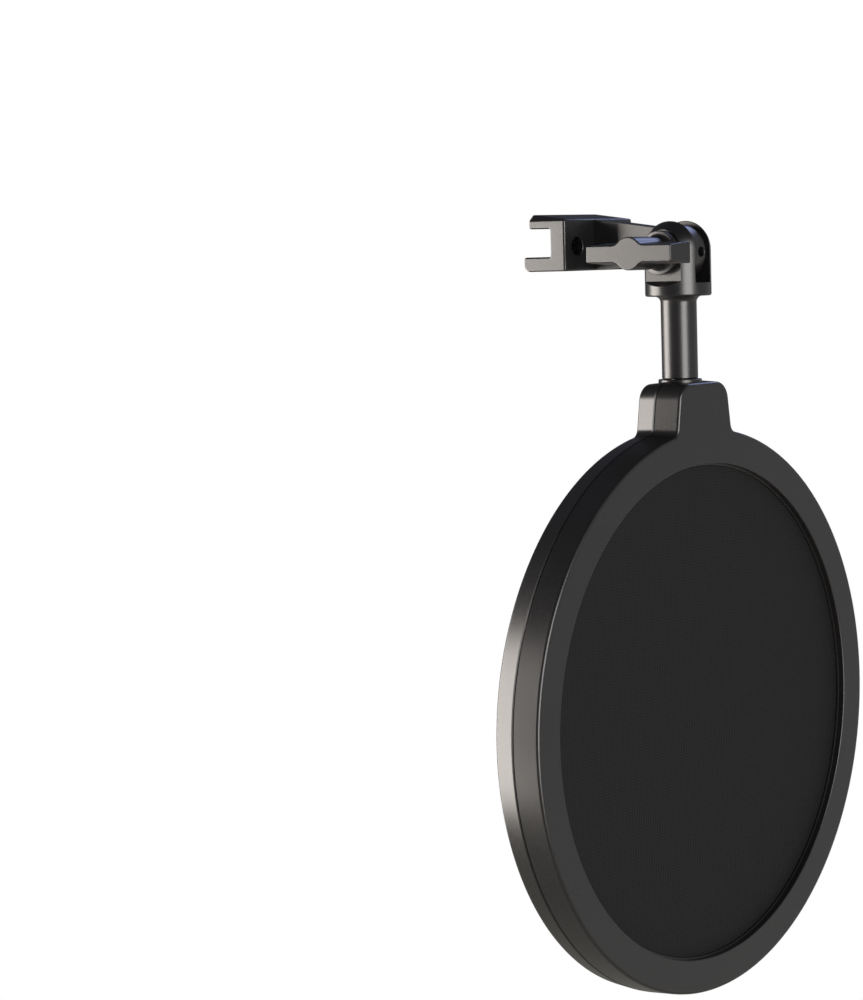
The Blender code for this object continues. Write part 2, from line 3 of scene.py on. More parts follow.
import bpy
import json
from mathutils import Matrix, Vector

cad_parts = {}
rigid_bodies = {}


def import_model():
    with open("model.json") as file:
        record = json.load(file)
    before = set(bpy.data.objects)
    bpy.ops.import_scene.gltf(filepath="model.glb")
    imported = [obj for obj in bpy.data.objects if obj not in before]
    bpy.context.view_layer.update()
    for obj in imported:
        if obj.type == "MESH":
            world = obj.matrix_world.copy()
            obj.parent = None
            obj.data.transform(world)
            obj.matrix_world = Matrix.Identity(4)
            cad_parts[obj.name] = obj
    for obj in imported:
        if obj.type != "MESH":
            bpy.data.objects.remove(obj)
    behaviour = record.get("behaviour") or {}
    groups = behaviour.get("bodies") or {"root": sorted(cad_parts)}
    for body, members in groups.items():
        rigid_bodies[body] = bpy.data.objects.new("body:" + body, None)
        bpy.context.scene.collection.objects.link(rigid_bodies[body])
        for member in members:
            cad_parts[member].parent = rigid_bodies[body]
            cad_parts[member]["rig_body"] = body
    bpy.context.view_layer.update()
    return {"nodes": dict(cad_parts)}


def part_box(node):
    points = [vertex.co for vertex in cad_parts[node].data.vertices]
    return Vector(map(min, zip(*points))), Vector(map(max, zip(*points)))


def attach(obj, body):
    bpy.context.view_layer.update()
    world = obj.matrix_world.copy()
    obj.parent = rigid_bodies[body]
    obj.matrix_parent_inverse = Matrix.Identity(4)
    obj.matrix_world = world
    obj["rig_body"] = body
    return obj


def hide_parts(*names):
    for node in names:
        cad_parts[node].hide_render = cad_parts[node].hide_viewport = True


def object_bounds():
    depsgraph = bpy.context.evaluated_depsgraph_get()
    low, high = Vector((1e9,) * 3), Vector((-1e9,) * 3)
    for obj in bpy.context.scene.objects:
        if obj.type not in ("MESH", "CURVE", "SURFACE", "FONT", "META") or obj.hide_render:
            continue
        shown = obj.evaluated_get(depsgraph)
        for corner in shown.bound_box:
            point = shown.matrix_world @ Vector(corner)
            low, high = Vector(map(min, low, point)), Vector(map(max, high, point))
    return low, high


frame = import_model()

import json
import math

import bmesh
import bpy
from mathutils import Matrix, Vector

MM = 0.001
X_AXIS = Vector((1, 0, 0))
Y_AXIS = Vector((0, 1, 0))
Z_AXIS = Vector((0, 0, 1))


def middle(node):
    low, high = (Vector(corner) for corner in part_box(node))
    return (low + high) / 2


def size_of(node):
    low, high = (Vector(corner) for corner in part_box(node))
    return high - low


# Places, read from the frame.
HINGE = Vector((0, middle("knob_washer").y, middle("knob_washer").z))
HOOP_Y = (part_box("front_shell")[0][1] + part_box("rear_shell")[1][1]) / 2
HOOP = Vector((0, HOOP_Y, middle("front_mesh").z))
STEM = Vector((0, middle("stem_bush").y, HOOP.z))
PARTING = STEM.y - HOOP.y

# Hoop.
HOOP_RADIUS = size_of("front_shell").x / 2
HALF_DEPTH = HOOP.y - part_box("front_shell")[0][1]
CAVITY_RADIUS = size_of("front_mesh").x / 2 + 0.3 * MM
LIP_RADIUS = 67.8 * MM
CLAMP_RING_RADIUS = 67.3 * MM
LIP_DEPTH = 1.6 * MM
FRONT_DRAFT = 0.4 * MM
REAR_DRAFT = 0.5 * MM
FACE_ROUND = 0.9 * MM
LIP_ROUND = 0.35 * MM
PARTING_GAP = 0.2 * MM
PARTING_CHAMFER = 0.3 * MM
CIRCLE_STEPS = 300

# Neck.
NECK_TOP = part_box("front_shell")[1][2] - HOOP.z - 0.6 * MM
NECK_SHOULDER_Z = 86.5 * MM
NECK_FOOT_Z = 76.0 * MM
NECK_FOOT_X = 13.3 * MM
NECK_SHOULDER_X = 12.0 * MM
NECK_CORNER = 5.5 * MM
NECK_FILLET = 2.2 * MM
SOCKET_RIM_RADIUS = 5.9 * MM
SOCKET_RIM_HEIGHT = 0.6 * MM

# Stem and fork, from the hinge.
STEM_TO_HOOP = HINGE.z - HOOP.z
STEM_RADIUS = 4.9 * MM
SPIGOT_RADIUS = 2.9 * MM
COLLAR_RADIUS = size_of("stem_yoke").x / 2
COLLAR_Z = 113.3 * MM - STEM_TO_HOOP
SLOT_FLOOR = 116.85 * MM - STEM_TO_HOOP
SLOT_HALF_WIDTH = 3.5 * MM
DOME_RADIUS = 8.3 * MM
EAR_FLAT_X = 6.9 * MM
EAR_FLAT_FOOT = -7.7 * MM
EAR_LEDGE_SLOPE = 2 / 3
BOLT_RADIUS = 2.0 * MM

# Knob.
KNOB_FACE_X = -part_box("wing_knob")[0][0]
KNOB_BASE_X = -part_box("wing_knob")[1][0]
KNOB_BAR_X = 13.8 * MM
KNOB_HALF_LENGTH = size_of("wing_knob").y / 2
KNOB_HALF_HEIGHT = 2.25 * MM
KNOB_WING_DRAFT = 0.7 * MM
KNOB_BOSS_RADIUS = 4.45 * MM

# Arm and bracket, from the seat face.
ARM_HALF_WIDTH = 3.2 * MM
TONGUE_RADIUS = 7.5 * MM
TONGUE_HALF_WIDTH = 2.4 * MM
BRACKET_TOP = 6.3 * MM
BRACKET_FOOT = -7.8 * MM
BRACKET_WEB = 5.0 * MM
BRACKET_HALF_WIDTH = size_of("arm_bracket").x / 2
BRACKET_FLAT_HALF = 6.0 * MM
RING_CURVE_RADIUS = 60.0 * MM
CHANNEL_TOP = 3.9 * MM
CHANNEL_FOOT = -3.8 * MM
UPPER_LIP_REACH = 7.2 * MM
LOWER_LIP_REACH = 9.2 * MM
LIP_RISE = 1.6 * MM


# ---------------------------------------------------------------- materials

def linear(code):
    """sRGB hex to linear RGBA."""
    channels = [int(code[index:index + 2], 16) / 255 for index in (1, 3, 5)]
    return [c / 12.92 if c <= 0.04045 else ((c + 0.055) / 1.055) ** 2.4 for c in channels] + [1.0]


def add_node(tree, kind, settings=(), inputs=(), links=()):
    """One node with its settings, its constants and what feeds it."""
    node = tree.nodes.new(kind)
    for key, value in dict(settings).items():
        setattr(node, key, value)
    for key, value in dict(inputs).items():
        node.inputs[key].default_value = value
    for key, source in dict(links).items():
        tree.links.new(source, node.inputs[key])
    return node


def new_material(name, **constants):
    """A material with a Principled shader whose constants sit on its own sockets."""
    material = bpy.data.materials.new(name)
    material.use_nodes = True
    shader = material.node_tree.nodes["Principled BSDF"]
    for key, value in constants.items():
        shader.inputs[key.replace("_", " ").title().replace("Ior", "IOR")].default_value = value
    return material, material.node_tree, shader


def mixed_colour(tree, factor, dark, light):
    """A ramp from one sRGB hex colour to another."""
    ramp = add_node(tree, "ShaderNodeValToRGB", links={"Fac": factor})
    ramp.color_ramp.elements[0].color = linear(dark)
    ramp.color_ramp.elements[1].color = linear(light)
    return ramp.outputs["Color"]


def ranged(tree, value, low, high):
    """Value from 0..1 stretched to low..high."""
    node = add_node(tree, "ShaderNodeMapRange", inputs={"To Min": low, "To Max": high},
                    links={"Value": value})
    return node.outputs["Result"]


def moulded_abs():
    """Black ABS from a spark-eroded mould: a satin skin of fine even pits, a little polished
    where hands have been."""
    material, tree, shader = new_material("black_abs_spark_eroded", ior=1.53)
    place = add_node(tree, "ShaderNodeTexCoord").outputs["Object"]
    # The pits of the mould are about 0.1 mm across; they are drawn at 0.3 mm, so that they show.
    pits = add_node(tree, "ShaderNodeTexNoise",
                    inputs={"Scale": 1 / (0.3 * MM), "Detail": 3.0, "Roughness": 0.6},
                    links={"Vector": place})
    patches = add_node(tree, "ShaderNodeTexNoise", inputs={"Scale": 1 / (22 * MM), "Detail": 4.0},
                       links={"Vector": place})
    blacks = mixed_colour(tree, patches.outputs["Fac"], "#0f0e0e", "#141313")
    tree.links.new(blacks, shader.inputs["Base Color"])
    gloss = add_node(tree, "ShaderNodeMath", {"operation": "MULTIPLY_ADD"}, {1: 0.2},
                     {0: pits.outputs["Fac"], 2: ranged(tree, patches.outputs["Fac"], 0.16, 0.26)})
    tree.links.new(gloss.outputs["Value"], shader.inputs["Roughness"])
    bump = add_node(tree, "ShaderNodeBump", inputs={"Strength": 0.2, "Distance": 0.02 * MM},
                    links={"Height": pits.outputs["Fac"]})
    tree.links.new(bump.outputs["Normal"], shader.inputs["Normal"])
    return material


def woven_nylon():
    """Black monofilament nylon in plain weave, stretched: round threads that pass over and under,
    with a dry sheen. The colour is painted darker in the gaps between the threads, which is painted
    shade, and lighter on their crowns, which is a painted highlight."""
    material, tree, shader = new_material("black_nylon_plain_weave", roughness=0.62, ior=1.53,
                                          specular_ior_level=0.18)
    shader.inputs["Sheen Weight"].default_value = 0.03
    shader.inputs["Sheen Roughness"].default_value = 0.5
    shader.inputs["Sheen Tint"].default_value = linear("#8c8c90")
    # Real thread spacing is about 0.35 mm; it is drawn at 0.8 mm, so that it shows.
    pitch = 0.8 * MM
    place = add_node(tree, "ShaderNodeTexCoord").outputs["Object"]
    axes = add_node(tree, "ShaderNodeSeparateXYZ", links={"Vector": place})
    waves = {}
    for label, along in (("warp", "X"), ("weft", "Z")):
        turn = add_node(tree, "ShaderNodeMath", {"operation": "MULTIPLY"}, {1: math.pi / pitch},
                        {0: axes.outputs[along]})
        wave = add_node(tree, "ShaderNodeMath", {"operation": "SINE"},
                        links={0: turn.outputs["Value"]})
        waves[label] = wave.outputs["Value"]
    # The product of the waves is largest where a thread crowns and zero in the gaps between.
    over = add_node(tree, "ShaderNodeMath", {"operation": "MULTIPLY"},
                    links={0: waves["warp"], 1: waves["weft"]})
    crown = add_node(tree, "ShaderNodeMath", {"operation": "ABSOLUTE"},
                     links={0: over.outputs["Value"]})
    drift = add_node(tree, "ShaderNodeTexNoise", inputs={"Scale": 1 / (9 * MM), "Detail": 3.0},
                     links={"Vector": place})
    height = add_node(tree, "ShaderNodeMath", {"operation": "MULTIPLY_ADD"}, {1: 0.25},
                      {0: drift.outputs["Fac"], 2: crown.outputs["Value"]})
    # Painted shade and painted highlight: the base colour darkens towards the gaps between threads
    # and lightens on their crowns. The drift noise adds a random tone.
    blacks = mixed_colour(tree, height.outputs["Value"], "#040404", "#0d0c0c")
    tree.links.new(blacks, shader.inputs["Base Color"])
    bump = add_node(tree, "ShaderNodeBump", inputs={"Strength": 0.6, "Distance": 0.12 * MM},
                    links={"Height": crown.outputs["Value"]})
    tree.links.new(bump.outputs["Normal"], shader.inputs["Normal"])
    return material


def metal(name, light, dark, roughness, grain):
    """Bare or plated metal with fine turning or rolling grain, a size given in metres."""
    material, tree, shader = new_material(name, metallic=1.0)
    place = add_node(tree, "ShaderNodeTexCoord").outputs["Object"]
    marks = add_node(tree, "ShaderNodeTexNoise", inputs={"Scale": 1 / grain, "Detail": 4.0},
                     links={"Vector": place})
    colour = mixed_colour(tree, marks.outputs["Fac"], dark, light)
    tree.links.new(colour, shader.inputs["Base Color"])
    gloss = ranged(tree, marks.outputs["Fac"], roughness * 0.7, roughness * 1.3)
    tree.links.new(gloss, shader.inputs["Roughness"])
    bump = add_node(tree, "ShaderNodeBump", inputs={"Strength": 0.2, "Distance": 0.02 * MM},
                    links={"Height": marks.outputs["Fac"]})
    tree.links.new(bump.outputs["Normal"], shader.inputs["Normal"])
    return material


def polymer(name, light, dark, low, high, grain):
    """Acetal or rubber: a moulded skin whose gloss wanders between low and high roughness."""
    material, tree, shader = new_material(name, ior=1.5)
    place = add_node(tree, "ShaderNodeTexCoord").outputs["Object"]
    marks = add_node(tree, "ShaderNodeTexNoise", inputs={"Scale": 1 / grain, "Detail": 3.0},
                     links={"Vector": place})
    colour = mixed_colour(tree, marks.outputs["Fac"], dark, light)
    tree.links.new(colour, shader.inputs["Base Color"])
    gloss = ranged(tree, marks.outputs["Fac"], low, high)
    tree.links.new(gloss, shader.inputs["Roughness"])
    return material


ABS = moulded_abs()
NYLON = woven_nylon()
ZINC = metal("zinc_plated_steel", "#b4b4b0", "#8f8f8c", 0.32, 0.4 * MM)
BLACK_STEEL = metal("black_oxide_steel", "#3a3a3b", "#232324", 0.38, 0.5 * MM)
BRASS = metal("turned_brass", "#c9a35a", "#a8843f", 0.28, 0.3 * MM)
ACETAL = polymer("acetal_moulded", "#dedcd6", "#cfccc5", 0.35, 0.5, 0.6 * MM)
BLACK_ACETAL = polymer("black_acetal_moulded", "#1c1c1c", "#151515", 0.35, 0.5, 0.6 * MM)
RUBBER = polymer("rubber_moulded", "#1d1d1d", "#141414", 0.7, 0.9, 0.4 * MM)


# ---------------------------------------------------------------- mesh tools

def arc(centre, radius, start, end, steps):
    """Points on a circle, angles in degrees."""
    angles = [math.radians(start + (end - start) * step / steps) for step in range(steps + 1)]
    return [(centre[0] + radius * math.cos(a), centre[1] + radius * math.sin(a)) for a in angles]


def softened(outline, steps=4):
    """Round the corners of a closed outline whose points are (a, b) or (a, b, radius)."""
    soft = []
    count = len(outline)
    for index, point in enumerate(outline):
        here = Vector(point[:2])
        if len(point) < 3:
            soft.append(tuple(here))
            continue
        before = (Vector(outline[index - 1][:2]) - here).normalized()
        after = (Vector(outline[(index + 1) % count][:2]) - here).normalized()
        half = before.angle(after) / 2
        reach = point[2] / math.tan(half)
        centre = here + (before + after).normalized() * point[2] / math.sin(half)
        start = here + before * reach - centre
        end = here + after * reach - centre
        sweep = start.angle_signed(end)
        for step in range(steps + 1):
            turn = Matrix.Rotation(-sweep * step / steps, 2)
            soft.append(tuple(centre + turn @ start))
    return soft


def piece_from(name, form, material, origin=(0, 0, 0)):
    bmesh.ops.recalc_face_normals(form, faces=form.faces)
    mesh = bpy.data.meshes.new(name)
    form.to_mesh(mesh)
    form.free()
    mesh.transform(Matrix.Translation(origin))
    piece = bpy.data.objects.new(name, mesh)
    bpy.context.scene.collection.objects.link(piece)
    if material:
        mesh.materials.append(material)
    return piece


def on_axis(vertex, axis):
    return (vertex.co - axis * vertex.co.dot(axis)).length < 0.001 * MM


def turned(outline, axis, steps=96):
    """Spin a closed outline of (radius, distance along the axis) round the axis."""
    form = bmesh.new()
    across = X_AXIS if axis != X_AXIS else Y_AXIS
    points = [form.verts.new(across * radius + axis * along) for radius, along in outline]
    edges = []
    for here, there in zip(points, points[1:] + points[:1]):
        if not (on_axis(here, axis) and on_axis(there, axis)):
            edges.append(form.edges.new((here, there)))
    bmesh.ops.spin(form, geom=points + edges, cent=(0, 0, 0), axis=axis, angle=math.tau,
                   steps=steps)
    bmesh.ops.remove_doubles(form, verts=form.verts, dist=0.001 * MM)
    bmesh.ops.dissolve_verts(form, verts=[v for v in form.verts if on_axis(v, axis)])
    return form


def rod(radius, low, high, axis, steps=64):
    return turned([(0, low), (radius, low), (radius, high), (0, high)], axis, steps)


def ring(outer, inner, low, high, axis, steps=96, edge=0.15 * MM):
    corners = [(inner, low, edge), (outer, low, edge), (outer, high, edge), (inner, high, edge)]
    return turned(softened(corners, 2), axis, steps)


def raised(outline, low, high, axis):
    """Raise an outline, (y, z) for the X axis or (x, z) for the Y axis, from low to high."""
    form = bmesh.new()
    place = (lambda a, b: (low, a, b)) if axis == X_AXIS else (lambda a, b: (a, low, b))
    face = form.faces.new([form.verts.new(place(a, b)) for a, b in outline])
    top = bmesh.ops.extrude_face_region(form, geom=[face])["geom"]
    moved = [part for part in top if isinstance(part, bmesh.types.BMVert)]
    bmesh.ops.translate(form, verts=moved, vec=axis * (high - low))
    return form


def box(low, high):
    form = bmesh.new()
    bmesh.ops.create_cube(form, size=1.0)
    span = Vector(high) - Vector(low)
    centre = (Vector(high) + Vector(low)) / 2
    place = Matrix.Translation(centre) @ Matrix.Diagonal(span.to_4d())
    bmesh.ops.transform(form, matrix=place, verts=form.verts)
    return form


def carve(piece, form, origin, operation="DIFFERENCE"):
    """Cut a form from a piece, or join it with UNION, and keep the result."""
    tool = piece_from("tool", form, None, origin)
    step = piece.modifiers.new("carve", "BOOLEAN")
    step.operation = operation
    step.object = tool
    keep_modifiers(piece)
    bpy.data.objects.remove(tool)


def keep_modifiers(piece):
    """Write what the modifiers make into the piece's own mesh."""
    bpy.context.view_layer.update()
    shaped = piece.evaluated_get(bpy.context.evaluated_depsgraph_get())
    made = bpy.data.meshes.new_from_object(shaped)
    piece.modifiers.clear()
    piece.data = made


def form_of(piece):
    """Take a helper piece's form and remove the piece."""
    form = bmesh.new()
    form.from_mesh(piece.data)
    bpy.data.objects.remove(piece)
    return form


def soften_edges(piece, width, segments=3, limit=30):
    """Moulded edge rounds: bevel every edge sharper than the limit, in degrees."""
    tidy = piece.modifiers.new("weld", "WELD")
    tidy.merge_threshold = 0.004 * MM
    bevel = piece.modifiers.new("bevel", "BEVEL")
    bevel.width = width
    bevel.segments = segments
    bevel.limit_method = "ANGLE"
    bevel.angle_limit = math.radians(limit)
    bevel.miter_outer = "MITER_ARC"
    keep_modifiers(piece)


def shade(piece, angle=32):
    """Smooth shading that leaves flats flat."""
    piece.data.shade_smooth()
    piece.data.set_sharp_from_angle(angle=math.radians(angle))
    flat = piece.modifiers.new("flats", "WEIGHTED_NORMAL")
    flat.keep_sharp = True
    keep_modifiers(piece)
    return piece


def stand_for(piece, node):
    """The piece replaces a CAD node, on that node's body."""
    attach(piece, frame["nodes"][node]["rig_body"])
    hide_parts(node)


# ---------------------------------------------------------------- hoop

def hoop_outline():
    """Front view of the hoop and neck, clockwise from the neck's top, with outward normals.

    A fillet of radius f between the circle and the neck's side has its centre f outside the side
    and f outside the circle.
    """
    foot = Vector((NECK_FOOT_X, NECK_FOOT_Z))
    along = (Vector((NECK_SHOULDER_X, NECK_SHOULDER_Z)) - foot).normalized()
    outward = Vector((along.y, -along.x))
    base = foot + outward * NECK_FILLET
    reach = HOOP_RADIUS + NECK_FILLET
    lead = base.dot(along)
    climb = -lead + math.sqrt(lead ** 2 - base.length_squared + reach ** 2)
    centre = base + along * climb

    lean = math.degrees(math.atan2(outward.y, outward.x))
    corner_x = NECK_SHOULDER_X - NECK_CORNER
    corner = arc((corner_x, NECK_TOP - NECK_CORNER), NECK_CORNER, 90, lean, 10)
    down = math.degrees(math.atan2(-centre.y, -centre.x))
    fillet = arc(centre, NECK_FILLET, 180 + lean, 360 + down, 8)
    start = math.degrees(math.atan2(centre.y, centre.x))
    circle = arc((0, 0), HOOP_RADIUS, start, -90, CIRCLE_STEPS // 2)
    right = [(2.5 * MM, NECK_TOP)] + corner + fillet + circle[1:]
    points = [Vector(p) for p in right] + [Vector((-x, z)) for x, z in reversed(right[:-1])]

    count = len(points)
    normals = []
    for index in range(count):
        tangent = points[(index + 1) % count] - points[index - 1]
        normals.append(Vector((-tangent.y, tangent.x)).normalized())
    return points, normals


def hoop_section(facing):
    """Half hoop's section as (inset from the outline, radius, y), where one of the two is None."""
    parting = PARTING + facing * PARTING_GAP / 2
    draft = FRONT_DRAFT if facing < 0 else REAR_DRAFT
    face = facing * HALF_DEPTH
    outer = [(1.2 * MM, parting), (PARTING_CHAMFER, parting),
             (0.0, parting + facing * PARTING_CHAMFER), (draft, face - facing * FACE_ROUND)]
    for step in range(1, 6):
        turn = math.radians(90 * step / 5)
        outer.append((draft + FACE_ROUND * (1 - math.cos(turn)),
                      face - facing * FACE_ROUND * (1 - math.sin(turn))))
    outer.append((draft + FACE_ROUND + 0.4 * MM, face))
    inner = []
    for step in range(5):
        turn = math.radians(90 * step / 4)
        inner.append((LIP_RADIUS + LIP_ROUND * (1 - math.sin(turn)),
                      face - facing * LIP_ROUND * (1 - math.cos(turn))))
    lip_back = face - facing * LIP_DEPTH
    inner += [(LIP_RADIUS, lip_back), (CAVITY_RADIUS, lip_back), (CAVITY_RADIUS, parting)]
    return ([(inset, None, y) for inset, y in outer]
            + [(None, radius, y) for radius, y in inner])


def hoop_form(facing):
    points, normals = hoop_outline()
    form = bmesh.new()
    loops = []
    for inset, radius, y in hoop_section(facing):
        loop = []
        for point, normal in zip(points, normals):
            flat = point - normal * inset if radius is None else point.normalized() * radius
            loop.append(form.verts.new((flat.x, y, flat.y)))
        loops.append(loop)
    for here, there in zip(loops, loops[1:] + loops[:1]):
        for index in range(len(here)):
            form.faces.new((here[index - 1], here[index], there[index], there[index - 1]))
    return form


def add_hoop_shell(label, facing):
    """Moulded half hoop with its half of the neck, the stem's socket and the screw holes."""
    shell = piece_from(f"{label}_hoop_moulding", hoop_form(facing), ABS, HOOP)
    half = 20 * MM
    parting = PARTING + facing * PARTING_GAP / 2

    rim_top = NECK_TOP + SOCKET_RIM_HEIGHT
    edge = 0.25 * MM
    section = softened([(STEM_RADIUS, NECK_TOP - MM), (SOCKET_RIM_RADIUS, NECK_TOP - MM),
                        (SOCKET_RIM_RADIUS, rim_top, edge), (STEM_RADIUS, rim_top, edge)])
    rim = piece_from("rim", turned(section, Z_AXIS), None, STEM)
    low, high = sorted((parting, parting - facing * half))
    carve(rim, box((-half, low, 0), (half, high, NECK_TOP + half)), HOOP)
    carve(shell, form_of(rim), (0, 0, 0), "UNION")
    bore = SPIGOT_RADIUS + 0.3 * MM
    socket = [(0, 78 * MM), (bore, 78 * MM), (bore, NECK_TOP + half), (0, NECK_TOP + half)]
    carve(shell, turned(socket, Z_AXIS), STEM)
    if facing > 0:
        for side in ("left", "right"):
            screw = middle(f"neck_screw_{side}")
            carve(shell, rod(2.4 * MM, HALF_DEPTH - 2.2 * MM, HALF_DEPTH + half, Y_AXIS),
                  (screw.x, HOOP.y, screw.z))
    stand_for(shade(shell), f"{label}_shell")


def add_mesh_sheet(label, facing):
    """Nylon stretched over the clamp ring, a thin closed sheet that dips a little at its middle."""
    node = f"{label}_mesh"
    radius = size_of(node).x / 2
    face = HOOP.y + facing * (HALF_DEPTH - LIP_DEPTH - 0.8 * MM)
    rings, steps, dip = 24, 120, 0.12 * MM
    form = bmesh.new()
    previous = None
    for index in range(rings + 1):
        share = index / rings
        depth = face - facing * dip * (1 - share ** 2)
        if index == 0:
            previous = [form.verts.new((0, depth, 0))] * steps
            continue
        loop = []
        for step in range(steps):
            turn = math.tau * step / steps
            loop.append(form.verts.new((share * radius * math.cos(turn), depth,
                                        share * radius * math.sin(turn))))
        for step in range(steps):
            corners = [previous[step - 1], loop[step - 1], loop[step], previous[step]]
            form.faces.new(corners if index > 1 else corners[:3])
        previous = loop
    sheet = piece_from(f"{label}_nylon_mesh", form, NYLON, (0, 0, HOOP.z))
    thick = sheet.modifiers.new("thread", "SOLIDIFY")
    thick.thickness = 0.16 * MM
    thick.offset = 0.0
    keep_modifiers(sheet)
    sheet.data.shade_smooth()
    stand_for(sheet, node)


def add_clamp_ring(label, facing):
    """Flat ring that holds the nylon's edge just behind the shell's lip."""
    node = f"{label}_mesh_ring"
    front = HOOP.y + facing * (HALF_DEPTH - LIP_DEPTH - 0.05 * MM)
    low, high = sorted((front, front - facing * 0.6 * MM))
    form = ring(size_of(node).x / 2, CLAMP_RING_RADIUS, low, high, Y_AXIS, CIRCLE_STEPS, 0.15 * MM)
    piece = shade(piece_from(f"{label}_clamp_ring", form, ABS, (0, 0, HOOP.z)))
    stand_for(piece, node)


# ---------------------------------------------------------------- stem, fork and hinge

def slot_edge_form(side, inset):
    """What rounding takes off the rim of one ear, where the slot's wall meets the dome.

    The cut starts a hair inside the wall and above the floor, so that no faces coincide.
    """
    edge = 0.35 * MM
    wall = SLOT_HALF_WIDTH
    spare = 1.5 * MM
    past = wall + edge - 0.03 * MM
    profile = [(wall - spare, -edge)] + arc((past, -edge), edge, 180, 90, 5)
    profile += [(past, spare), (wall - spare, spare)]
    top = math.degrees(math.acos((wall - inset) / DOME_RADIUS))
    dome = arc((inset, inset), DOME_RADIUS, 0, top, 28)
    quarter = [(COLLAR_RADIUS, SLOT_FLOOR + 0.05 * MM)] + dome[:-1]
    half = [(math.sqrt(reach ** 2 - wall ** 2), height) for reach, height in quarter]
    crest = inset + math.sqrt(DOME_RADIUS ** 2 - (wall - inset) ** 2)
    rim = half + [(0, crest)] + [(-y, z) for y, z in reversed(half)]
    form = bmesh.new()
    loops = []
    for index, point in enumerate(rim):
        ahead = Vector(rim[min(index + 1, len(rim) - 1)]) - Vector(rim[max(index - 1, 0)])
        out = Vector((ahead.y, -ahead.x)).normalized()
        loops.append([form.verts.new((side * x, point[0] + out.x * rise, point[1] + out.y * rise))
                      for x, rise in profile])
    for here, there in zip(loops, loops[1:]):
        for index in range(len(here)):
            form.faces.new((here[index - 1], here[index], there[index], there[index - 1]))
    form.faces.new(loops[0])
    form.faces.new(loops[-1])
    return form


def add_stem_fork():
    """Foot, spigot, stem, flare, collar and dome in one turning, then the fork's cuts."""
    shoulder = NECK_TOP + SOCKET_RIM_HEIGHT + 0.15 * MM - STEM_TO_HOOP
    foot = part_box("stem_yoke")[0][2] - HINGE.z
    flare = 1.7 * MM
    inset = COLLAR_RADIUS - DOME_RADIUS
    stem = [(0, foot), (4.1 * MM, foot, 0.3 * MM), (4.1 * MM, foot + 2 * MM, 0.3 * MM),
            (SPIGOT_RADIUS, foot + 2 * MM), (SPIGOT_RADIUS, shoulder),
            (STEM_RADIUS, shoulder, 0.3 * MM), (STEM_RADIUS, COLLAR_Z, flare),
            (COLLAR_RADIUS, COLLAR_Z, 0.6 * MM)]
    dome = arc((inset, inset), DOME_RADIUS, 0, 90, 32)
    outline = softened(stem + dome + [(0, COLLAR_RADIUS)], 8)
    fork = piece_from("stem_fork_moulding", turned(outline, Z_AXIS, 128), ABS, HINGE)

    far = 14 * MM
    carve(fork, box((-SLOT_HALF_WIDTH, -far, SLOT_FLOOR), (SLOT_HALF_WIDTH, far, far)), HINGE)
    for side in (-1, 1):
        carve(fork, slot_edge_form(side, inset), HINGE)
    ledge_foot = EAR_FLAT_FOOT - EAR_LEDGE_SLOPE * (far - EAR_FLAT_X)
    flat = [(-EAR_FLAT_X, EAR_FLAT_FOOT), (-EAR_FLAT_X, far), (-far, far), (-far, ledge_foot)]
    carve(fork, raised(flat, -far, far, Y_AXIS), HINGE)
    carve(fork, rod(BOLT_RADIUS + 0.3 * MM, -far, far, X_AXIS), HINGE)
    pocket = turned([(0, 5.5 * MM), (4.45 * MM, 5.5 * MM), (4.45 * MM, far), (0, far)], X_AXIS, 6)
    carve(fork, pocket, HINGE)
    stand_for(shade(fork), "stem_yoke")


def add_hinge_bolt():
    """Zinc plated hex bolt with a chamfered head."""
    low, high = (corner[0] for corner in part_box("hinge_bolt"))
    head_low = high - 2.6 * MM
    corner = 4.04 * MM
    head = turned([(0, head_low), (corner, head_low), (corner, high), (0, high)], X_AXIS, 6)
    bolt = piece_from("hinge_hex_bolt", head, ZINC, HINGE)
    crown = [(0, head_low - MM), (6 * MM, head_low - MM), (6 * MM, high - 1.2 * MM),
             (3.4 * MM, high), (0, high)]
    carve(bolt, turned(crown, X_AXIS), HINGE, "INTERSECT")
    soften_edges(bolt, 0.12 * MM, 2)
    shank = softened([(0, low), (BOLT_RADIUS, low, 0.4 * MM), (BOLT_RADIUS, head_low + MM),
                      (0, head_low + MM)])
    carve(bolt, turned(shank, X_AXIS), HINGE, "UNION")
    stand_for(shade(bolt), "hinge_bolt")


def add_washer(node, name, material, inner, edge):
    low, high = (corner[0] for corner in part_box(node))
    form = ring(size_of(node).y / 2, inner, low, high, X_AXIS, 96, edge)
    stand_for(shade(piece_from(name, form, material, HINGE)), node)


def knob_outline():
    """Front view of the T-bar: straight wings that flow through hollows into a round boss."""
    hollow = 3.0 * MM
    wing = KNOB_HALF_HEIGHT
    drop = wing + hollow
    reach = math.sqrt((KNOB_BOSS_RADIUS + hollow) ** 2 - drop ** 2)
    meet = math.degrees(math.atan2(drop, reach))
    corner = 0.5 * MM
    tip = KNOB_HALF_LENGTH
    right = (arc((tip - corner, wing - corner), corner, 0, 90, 3)
             + arc((reach, drop), hollow, 270, 180 + meet, 8)
             + arc((0, 0), KNOB_BOSS_RADIUS, meet, 90, 10))
    top = right + [(-y, z) for y, z in reversed(right[:-1])]
    return top + [(y, -z) for y, z in reversed(top)]


